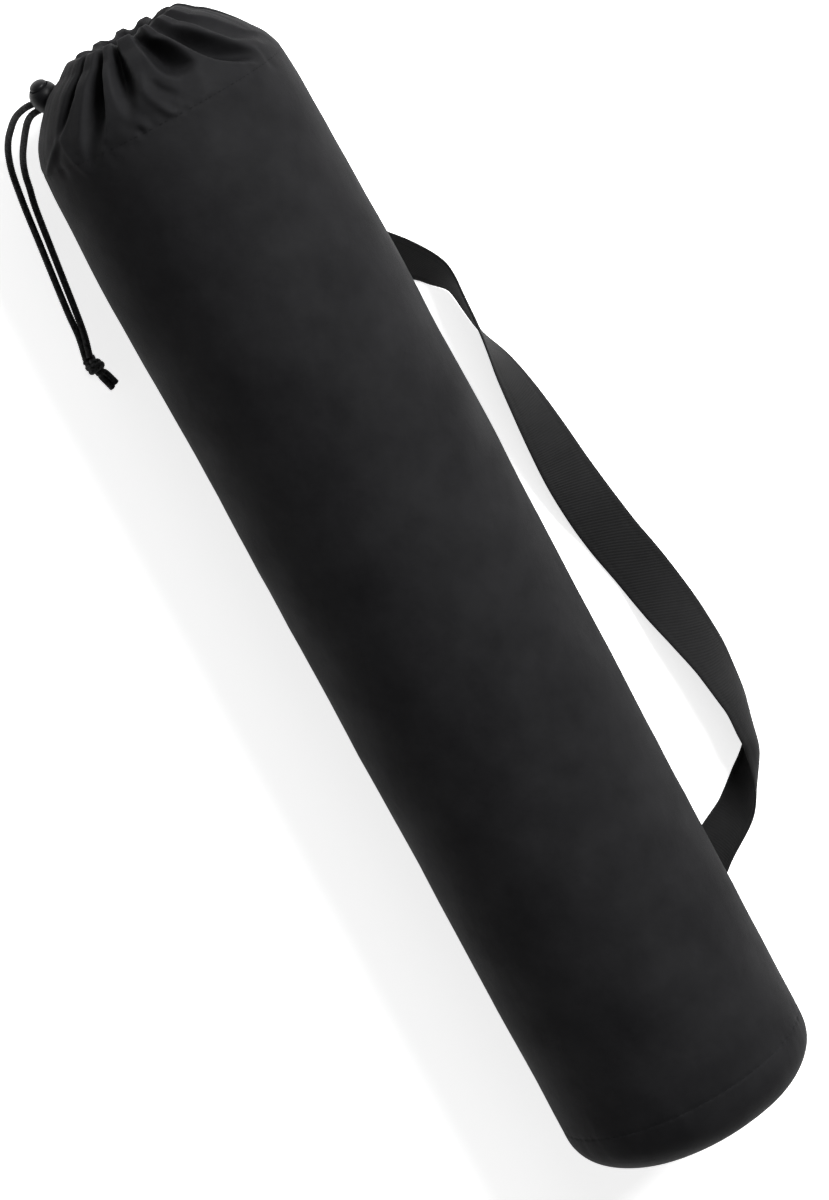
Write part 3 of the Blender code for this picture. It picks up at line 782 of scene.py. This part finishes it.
def lock_pieces():
    bore_radius = button_radius + button_fit
    floor = lock_mouth_height - button_rest_gap - button_travel * 0.35
    lip = 0.0004
    profile = [(0.0, floor), (bore_radius, floor), (bore_radius, lock_mouth_height - lip)]
    for k in range(1, 5):
        turn = math.radians(90 * k / 4)
        height = lock_mouth_height - lip + lip * math.sin(turn)
        profile.append((bore_radius + lip * (1 - math.cos(turn)), height))
    rows = 40
    for k in range(rows + 1):
        turn = math.radians(-90 + 136.0 * (rows - k) / rows)
        length = lock_tip_length if turn < 0 else lock_mouth_height / math.sin(math.radians(46))
        radius = lock_radius * math.cos(turn) ** (1.0 if turn > 0 else 1.15)
        profile.append((max(radius, 0.0) if k < rows else 0.0, length * math.sin(turn)))
    shell = lathe("lock_shell", profile, lock_matrix(), lock_gloss, "bag")
    quarter = Matrix.Rotation(math.radians(90), 4, "Y")
    for index in (0, 1):
        height = lock_first_hole - index * lock_hole_spacing
        bore(shell, cord_radius + cord_clearance * 0.6, 0.03, lock_matrix(height) @ quarter)
    shell.data.set_sharp_from_angle(angle=math.radians(40))
    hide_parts("cord_lock")

    top = button_height + 0.0012
    profile = [(0.0, top)]
    for k in range(1, 13):
        f = k / 12
        profile.append((button_radius * 0.92 * f, top - 0.0016 * f**2.6))
    profile += [(button_radius * 0.985, button_height - 0.0009), (button_radius, button_height - 0.0014)]
    profile += [(button_radius, 0.0), (0.0, 0.0)]
    lowest = lock_mouth_height - button_rest_gap + button_travel * 0.75
    button = lathe("lock_press", profile, lock_matrix(lowest), lock_gloss, "button")
    button.data.set_sharp_from_angle(angle=math.radians(40))
    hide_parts("lock_button")


lock_pieces()


# Bag cloth


def smooth_step(f):
    f = np.clip(f, 0, 1)
    return f * f * (3 - 2 * f)


def hump(away, half_width):
    return np.exp(-((away / half_width) ** 2))


def ridge_radius(distance):
    fine = np.linspace(0, 1, 241)
    open_share = column(SHOULDER, "distance", "fullness", fine)
    fullness = np.interp(distance / shoulder_length, fine, open_share)
    radius = neck_radius + (bag_radius - neck_radius) * fullness
    return radius - rim_corner_drop * np.clip((rim_corner - distance) / (rim_corner - rim_round), 0, 1) ** 2


def angle_from(deg, centre):
    return (deg - centre + 180.0) % 360.0 - 180.0


def lean_at(distance):
    """How far the tube leans aside towards its cords there, in metres."""
    return -0.001 * np.interp(distance * 1000, *zip(*LEAN))


def valley_drop(deg, distance):
    """Depth of the gathers' valleys, for a row of angles and a column of distances."""
    drop = np.zeros((len(distance), len(deg)))
    mm = distance * 1000
    for rows in VALLEYS:
        table = (VALLEY_COLUMNS, *rows)
        columns = (column(table, "distance", name, mm)[:, None] for name in VALLEY_COLUMNS[1:])
        left, floor, right, depth = columns
        away = angle_from(deg[None, :], floor)
        share = np.where(away < 0, -away / (floor - left), away / (right - floor))
        shape = np.clip(1 - share**2, 0, 1) ** 0.92
        depth = np.where(mm[:, None] < rows[-1][0], depth, 0.0) * 0.001
        drop = np.maximum(drop, depth * shape)
    return drop


def line_relief(deg, distance, radius, points, height, half_width):
    """A ridge or crease along a line of points on the unrolled cloth."""
    x = np.broadcast_to(distance[:, None], radius.shape)
    y = np.radians(angle_from(deg[None, :], points[0][1])) * 0.065
    nearest = np.full(radius.shape, 1.0)
    places = [(d / 1000, math.radians(a - points[0][1]) * 0.065) for d, a in points]
    for (x0, y0), (x1, y1) in zip(places, places[1:]):
        length = (x1 - x0) ** 2 + (y1 - y0) ** 2
        f = np.clip(((x - x0) * (x1 - x0) + (y - y0) * (y1 - y0)) / length, 0, 1)
        gap = np.hypot(x - x0 - f * (x1 - x0), y - y0 - f * (y1 - y0))
        nearest = np.minimum(nearest, gap)
    ends = smooth_step((x - places[0][0] + 0.004) / 0.008) * smooth_step((places[-1][0] + 0.004 - x) / 0.008)
    return height / 1000 * hump(nearest, half_width / 1000) * ends


def cloth_radius(deg, distance):
    """Radius of the cloth's outer layer: gathers, fold lines, puckers and soft dents."""
    ridge = ridge_radius(distance)[:, None]
    radius = ridge - valley_drop(deg, distance)
    side_drop = np.interp(distance * 1000, *zip(*STRAP_SIDE))[:, None] * 0.001
    radius = radius - side_drop * hump(angle_from(deg, 85.0)[None, :], 38.0)
    along = distance[:, None]
    for points, height, half_width in FOLD_LINES:
        radius = radius + line_relief(deg, distance, radius, points, height, half_width)
    for at, place, depth, half_width in PUCKERS:
        gap = np.hypot(np.radians(angle_from(deg[None, :], at)) * 0.072, along - place / 1000)
        radius = radius - depth / 1000 * hump(gap, half_width / 1000)
    turn = np.radians(deg)[None, :]
    radius = radius - 0.00018 * hump(along - casing_depth, 0.0009)
    pucker = sum(np.sin(n * turn + p) for n, p in ((41, 0.4), (59, 1.9), (83, 4.0), (103, 2.2))) / 4
    strong = 0.35 + 0.9 * hump(angle_from(deg, -4.0)[None, :], 27.0)
    sideways = np.sin(turn) * bag_radius
    lumps = noise_waves(along, sideways, 51, 14, 0.006, 0.015)
    radius = radius + 0.00030 * pucker * hump(along - casing_depth, 0.0040) * strong
    radius = radius + 0.00032 * lumps * strong * hump(along - casing_depth + 0.003, 0.0055)
    from_seam = along - tube_length + base_stitch_inset
    radius = radius - 0.0003 * hump(from_seam, 0.0008)
    radius = radius + base_ripple(turn) * hump(from_seam, 0.006)
    ticks = smooth_step(np.sin(turn * 78) * 2 - 0.6)
    radius = radius - 0.00035 * ticks * hump(from_seam, 0.0013)
    near_rim = np.exp(-along / 0.022)
    crumple = sum(np.sin(n * turn + p + along * 90) for n, p in ((33, 1.0), (47, 3.2), (64, 0.7))) / 3
    radius = radius + 0.0005 * crumple * near_rim * smooth_step(along / 0.006)
    open_part = smooth_step((along - 0.03) / 0.05)
    dents = noise_waves(along, sideways * 1.2, 11, 9, 0.07, 0.22)
    dents = dents + noise_waves(along, np.cos(turn) * bag_radius * 1.2, 12, 7, 0.07, 0.2) * 0.6
    radius = radius + 0.00017 * dents * open_part
    creases = noise_waves(along, sideways, 31, 12, 0.018, 0.05)
    radius = radius + 0.00007 * creases * open_part
    return radius


def base_ripple(turn):
    return 0.00014 * sum(np.sin(n * turn + p) for n, p in ((29, 0.2), (43, 2.4), (61, 5.0))) / 3


def round_points(x, radius, turn, lowest=0.00002, aside=0.0):
    """Points of a round skin about the bag's axis, kept off the floor."""
    x = np.broadcast_to(x, radius.shape)
    y = axis_y + aside + radius * np.sin(turn)
    return np.stack([x, y, np.maximum(axis_height + radius * np.cos(turn), lowest)], axis=-1)


def blur_round(values, count):
    for _ in range(count):
        values = (values * 2 + np.roll(values, 1, axis=1) + np.roll(values, -1, axis=1)) / 4
    return values


def hem_radius(distance, outer):
    """The hem turned in under the casing: clear of the cord near the rim, then close under the cloth."""
    drop = ridge_radius(distance)[:, None] - outer
    channel = drawstring_radius - channel_half - 0.45 * np.minimum(drop, 0.010)
    follow = outer - 0.0034 - 0.10 * np.clip(drop, 0, 0.012)
    start = cord_from_rim + channel_half
    f = smooth_step((distance - start) / (casing_depth * 0.3))[:, None]
    return channel * (1 - f) + follow * f


def roll(add, hem_edge, outer, distance, inset, count):
    """Rows round the rim, from the hem's edge to the outer layer, which they meet without a kink."""
    tip = inset - 0.0003
    slope = (outer[1] - outer[0]) / (distance[1] - distance[0])
    middle = hem_edge * 0.5 + outer[0] * 0.5
    corner = np.maximum(outer[0] - slope * (rim_round - tip), middle + (outer[0] - middle) * 0.25)
    corner = np.minimum(corner, outer[0])
    corner = blur_round(corner[None, :], 6)[0]
    for f in np.linspace(0.12, 1.0, count):
        radius = (1 - f) ** 2 * hem_edge + 2 * f * (1 - f) * hem_edge + f**2 * middle
        add(radius[None, :], np.array([(1 - f) ** 2 * rim_round + (1 - (1 - f) ** 2) * tip]))
    for f in np.linspace(0.12, 0.88, count):
        radius = (1 - f) ** 2 * middle + 2 * f * (1 - f) * corner + f**2 * outer[0]
        add(radius[None, :], np.array([(1 - f**2) * tip + f**2 * rim_round]))


def bag_cloth():
    segments = 420
    deg = np.arange(segments) * 360.0 / segments
    gathers = np.concatenate(
        [np.linspace(rim_round, 0.030, 30), np.linspace(0.0312, 0.056, 23), np.linspace(0.060, 0.085, 6)]
    )
    tube = np.linspace(0.092, tube_length - 0.014, 48)
    end = np.linspace(tube_length - 0.010, tube_length, 10)
    distance = np.concatenate([gathers, tube, end])
    outer = blur_round(cloth_radius(deg, distance), 2) + cloth_wall / 2
    hem_distance = np.linspace(casing_depth - 0.001, rim_round, 16)
    hem_outer = blur_round(cloth_radius(deg, hem_distance), 3)
    hem = hem_radius(hem_distance, hem_outer)
    rows, places = [], []

    def add(radius, where):
        rows.append(radius)
        places.append(np.broadcast_to(where[:, None], radius.shape))

    add(hem - 0.0004, hem_distance)
    roll(add, hem[-1] - 0.0004, outer, distance, 0.0, 12)
    add(outer, distance)
    back = np.concatenate([np.linspace(tube_length, 0.10, 6), np.linspace(0.075, rim_round, 34)])
    inner = blur_round(cloth_radius(deg, back), 4) - 0.0004
    add(inner, back)
    inner_rows = []
    roll(lambda r, d: inner_rows.append((r, d)), hem[-1] + 0.0004, inner[::-1], back[::-1], 0.0009, 7)
    for row, where in inner_rows[::-1]:
        add(row, where)
    add(hem[::-1] + 0.0004, hem_distance[::-1])
    radius = np.concatenate(rows)
    place = np.concatenate(places)
    turn = np.radians(deg)[None, :]
    wave = valley_drop(deg, np.array([rim_round]))[0] / 0.010
    place = place + (rim_wave * wave - rim_wave * 0.45)[None, :] * np.exp(-np.maximum(place, 0) / 0.009)
    lowest = 0.00002 + 0.0008 * (place < 0)
    points = round_points(rim_x + place, radius, turn, lowest, lean_at(place))
    steps = np.sqrt(np.diff(place[:, 0]) ** 2 + np.diff(radius.mean(axis=1)) ** 2)
    rise = np.concatenate([[0.0], np.cumsum(steps)])
    rise = np.append(rise, rise[-1] + 0.001)
    round_way = np.append(np.radians(deg) * bag_radius, 2 * math.pi * bag_radius)
    uv = np.meshgrid(round_way, rise)
    mesh = grid_mesh("bag_cloth", points, wrap_rows=True, wrap_cols=True, uv=uv)
    made = new_object("bag_cloth", mesh, shell_nylon)
    open_exit(mesh)
    face_out(mesh)
    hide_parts("bag_body")


exit_half_along = 0.0050
exit_half_round = 0.0060


def exit_share(point):
    """1 on the edge of the cord's exit from the casing, less inside it."""
    y, z = point[1] - axis_y, point[2] - axis_height
    radius = math.hypot(y, z)
    away = math.radians(angle_from(math.degrees(math.atan2(y, z)), exit_deg)) * radius
    along = point[0] - rim_x - exit_slot_from_rim
    return math.hypot(along / exit_half_along, away / exit_half_round), radius


def open_exit(mesh):
    """Opens the casing's outer layer where the cord leaves it."""
    bm = bmesh.new()
    bm.from_mesh(mesh)
    inside = []
    for face in bm.faces:
        share, radius = exit_share(face.calc_center_median())
        if share < 1 and radius > drawstring_radius + cord_radius * 2:
            inside.append(face)
    bmesh.ops.delete(bm, geom=inside, context="FACES")
    bm.to_mesh(mesh)
    bm.free()


def base_cloth():
    """The round end with its rounded edge and the seam that joins it to the tube."""
    segments = 360
    deg = np.arange(segments) * 360.0 / segments
    turn = np.radians(deg)[None, :]
    rows = 44
    lean = np.radians(np.linspace(0, 89.0, rows))
    flat = bag_radius + cloth_wall / 2
    radius = flat * np.cos(lean) ** (2 / base_dome_roundness)
    rise = (base_dome_height + dome_proud) * np.sin(lean) ** (2 / base_dome_roundness)
    laps = np.linspace(-base_lap, -0.0004, 6)
    under = cloth_radius(deg, tube_length + laps) + cloth_wall / 2 + 0.00006
    join = cloth_radius(deg, np.array([tube_length])) + cloth_wall / 2 + 0.00006 - flat
    shape = radius[:, None] + join * hump(rise, 0.014)[:, None]
    radial = noise_waves(radius[:, None] * np.cos(turn), radius[:, None] * np.sin(turn), 41, 10, 0.03, 0.09)
    x = dome_x + rise[:, None] + 0.00045 * radial * np.sin(lean)[:, None] ** 2
    centre = np.array([dome_x, axis_y, axis_height])
    lapped = round_points(dome_x + laps[:, None], under, turn)
    points = np.concatenate([lapped, round_points(x, shape, turn)])
    inner = centre + (points - centre) * np.array([0.966, 0.987, 0.987])
    both = np.concatenate([points[::-1], inner])
    arc = np.concatenate([[0.0], np.cumsum(np.hypot(np.diff(radius), np.diff(rise)))])
    arc = np.concatenate([laps, arc])
    round_way = np.append(np.radians(deg), 2 * math.pi) * bag_radius
    uv = np.meshgrid(round_way, np.concatenate([arc[::-1], -arc]))
    mesh = grid_mesh("base_cloth", both, wrap_cols=True, uv=uv)
    face_out(mesh, close=True)
    mesh.shade_smooth()
    made = new_object("base_cloth", mesh, shell_nylon)
    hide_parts("base_panel")


bag_cloth()
base_cloth()


# Shoulder strap


def strap_section(share, strips):
    """Points across the strap and their outward directions, as (out, up) from its middle."""
    lean = math.radians(read_table(STRAP, "along", "lean_deg", share))
    level, steep = math.cos(lean), math.sin(lean)
    curl = math.radians(max(4.0, read_table(STRAP, "along", "curl_deg", share)))
    radius = strap_width / curl
    points, normals = [], []
    for k in range(strips + 1):
        turn = curl * (k / strips - 0.5)
        run = radius * math.sin(turn)
        bulge = radius * (math.cos(turn) - math.cos(curl / 2))
        for line, flat, high in ((points, run, bulge), (normals, math.sin(turn), math.cos(turn))):
            line.append((flat * level + high * steep, flat * steep - high * level))
    return points, normals


def strap_middle(share):
    seat = read_table(STRAP, "along", "seat", share)
    curl = math.radians(read_table(STRAP, "along", "curl_deg", share))
    angle = math.radians(strap_seat_deg)
    sagitta = strap_width / curl * (1 - math.cos(curl / 2))
    seat_radius = bag_radius + cloth_wall / 2 + strap_gap + strap_thickness / 2 - sagitta * seat
    lowest = min(up for _, up in strap_section(share, 6)[0])
    free_y = bag_radius + strap_reach * read_table(STRAP, "along", "out", share)
    free_z = strap_thickness / 2 + touch_gap - lowest
    seat_y = seat_radius * math.sin(angle)
    seat_z = axis_height + seat_radius * math.cos(angle)
    return Vector(
        (
            strap_first_x + strap_span * share,
            axis_y + free_y * (1 - seat) + seat_y * seat,
            free_z * (1 - seat) + seat_z * seat,
        )
    )


def webbing_strap():
    """Flat webbing with rounded selvages, its loop closed round each edge."""
    stations = 460
    strips = strap_strips
    rows, lengths = [], [0.0]
    before = None
    for k in range(stations + 1):
        share = k / stations
        middle = strap_middle(share)
        nudge = 0.006
        heading = strap_middle(min(1.0, share + nudge)) - strap_middle(max(0.0, share - nudge))
        heading.z = 0
        heading.normalize()
        out = Vector((-heading.y, heading.x, 0))
        if before is not None:
            lengths.append(lengths[-1] + (middle - before).length)
        before = middle
        points, normals = strap_section(share, strips)
        row = []
        half = strap_thickness / 2
        for side in (1, -1):
            for j in range(strips + 1)[::side]:
                edge = min(j, strips - j)
                swell = 1.0 - 0.62 * (edge == 0) - 0.10 * (edge == 1) - 0.16 * (edge in (3, 4))
                o = points[j][0] + side * normals[j][0] * half * swell
                up = points[j][1] + side * normals[j][1] * half * swell
                row.append(middle + out * o + Vector((0, 0, up)))
        rows.append([tuple(p) for p in row])
    points = np.array(rows)
    points[:, :, 2] = np.maximum(points[:, :, 2], 0.0002)
    width = np.linspace(0, strap_width, strips + 1)
    widths = np.concatenate([width, width[::-1], [0.0]])
    mesh = grid_mesh("webbing_strap", points, wrap_cols=True, uv=np.meshgrid(widths, lengths))
    face_out(mesh, close=True)
    made = new_object("webbing_strap", mesh, strap_twill)
    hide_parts("shoulder_strap")


webbing_strap()


# Stitches


def stitches(name, places, ways, ups, length=0.0023, thick=0.00040):
    """Short rounded threads, each along its way, with its back to the cloth."""
    sections = ((-0.5, 0.25), (-0.36, 0.9), (0.0, 1.0), (0.36, 0.9), (0.5, 0.25))
    points, faces = [], []
    sides = 6
    for place, way, up in zip(places, ways, ups):
        way = way / np.linalg.norm(way)
        up = up - way * np.dot(up, way)
        up = up / np.linalg.norm(up)
        across = np.cross(way, up)
        base = len(points)
        for at, fat in sections:
            lift = 0.5 * fat - 0.55
            for k in range(sides):
                turn = 2 * math.pi * k / sides
                offset = across * math.cos(turn) * fat + up * (math.sin(turn) * fat * 0.7 + lift)
                points.append(place + way * length * at + offset * thick / 2)
        for j in range(len(sections) - 1):
            for k in range(sides):
                n = (k + 1) % sides
                one, two = base + j * sides, base + (j + 1) * sides
                faces.append((one + k, one + n, two + n, two + k))
        faces.append(tuple(base + k for k in range(sides))[::-1])
        last = base + (len(sections) - 1) * sides
        faces.append(tuple(last + k for k in range(sides)))
    mesh = bpy.data.meshes.new(name)
    mesh.from_pydata([tuple(p) for p in points], [], faces)
    face_out(mesh)
    mesh.shade_smooth()
    made = new_object(name, mesh, seam_thread)


def round_stitches(name, from_rim, count):
    deg = (np.arange(count) + 0.5) * 360.0 / count
    radius = cloth_radius(deg, np.array([from_rim]))[0] + cloth_wall / 2
    turn = np.radians(deg)
    places, ways, ups = [], [], []
    for t, r in zip(turn, radius):
        out = np.array([0, math.sin(t), math.cos(t)])
        point = np.array([rim_x + from_rim, axis_y + lean_at(from_rim), axis_height]) + out * r
        if point[2] < 0.0006:
            continue
        places.append(point)
        ways.append(np.array([0, math.cos(t), -math.sin(t)]))
        ups.append(out)
    stitches(name, places, ways, ups)


round_stitches("casing_stitches", casing_depth, 152)
round_stitches("base_stitches", tube_length - base_stitch_inset, 156)


def strap_stitches():
    """A sewn rectangle on each of the strap's two ends."""
    middle_strip = strap_strips // 2
    half = strap_thickness / 2
    places, ways, ups = [], [], []

    def add(share, strip, along):
        points, normals = strap_section(share, strap_strips)
        normal = np.array([0, *normals[strip]])
        places.append(np.array(strap_middle(share)) + np.array([0, *points[strip]]) + normal * half)
        across = np.array([0, *points[strip + 1]]) - np.array([0, *points[strip - 1]])
        ways.append(np.array([1.0, 0, 0]) if along else across)
        ups.append(normal)

    for first, last in ((0.006, 0.050), (0.950, 0.994)):
        for share in np.linspace(first, last, 9):
            for strip in (middle_strip - 10, middle_strip + 10):
                add(float(share), strip, True)
        for share in (first, last):
            for strip in range(middle_strip - 8, middle_strip + 9, 3):
                add(share, strip, False)
    stitches("strap_stitches", places, ways, ups, thick=0.00055)


strap_stitches()
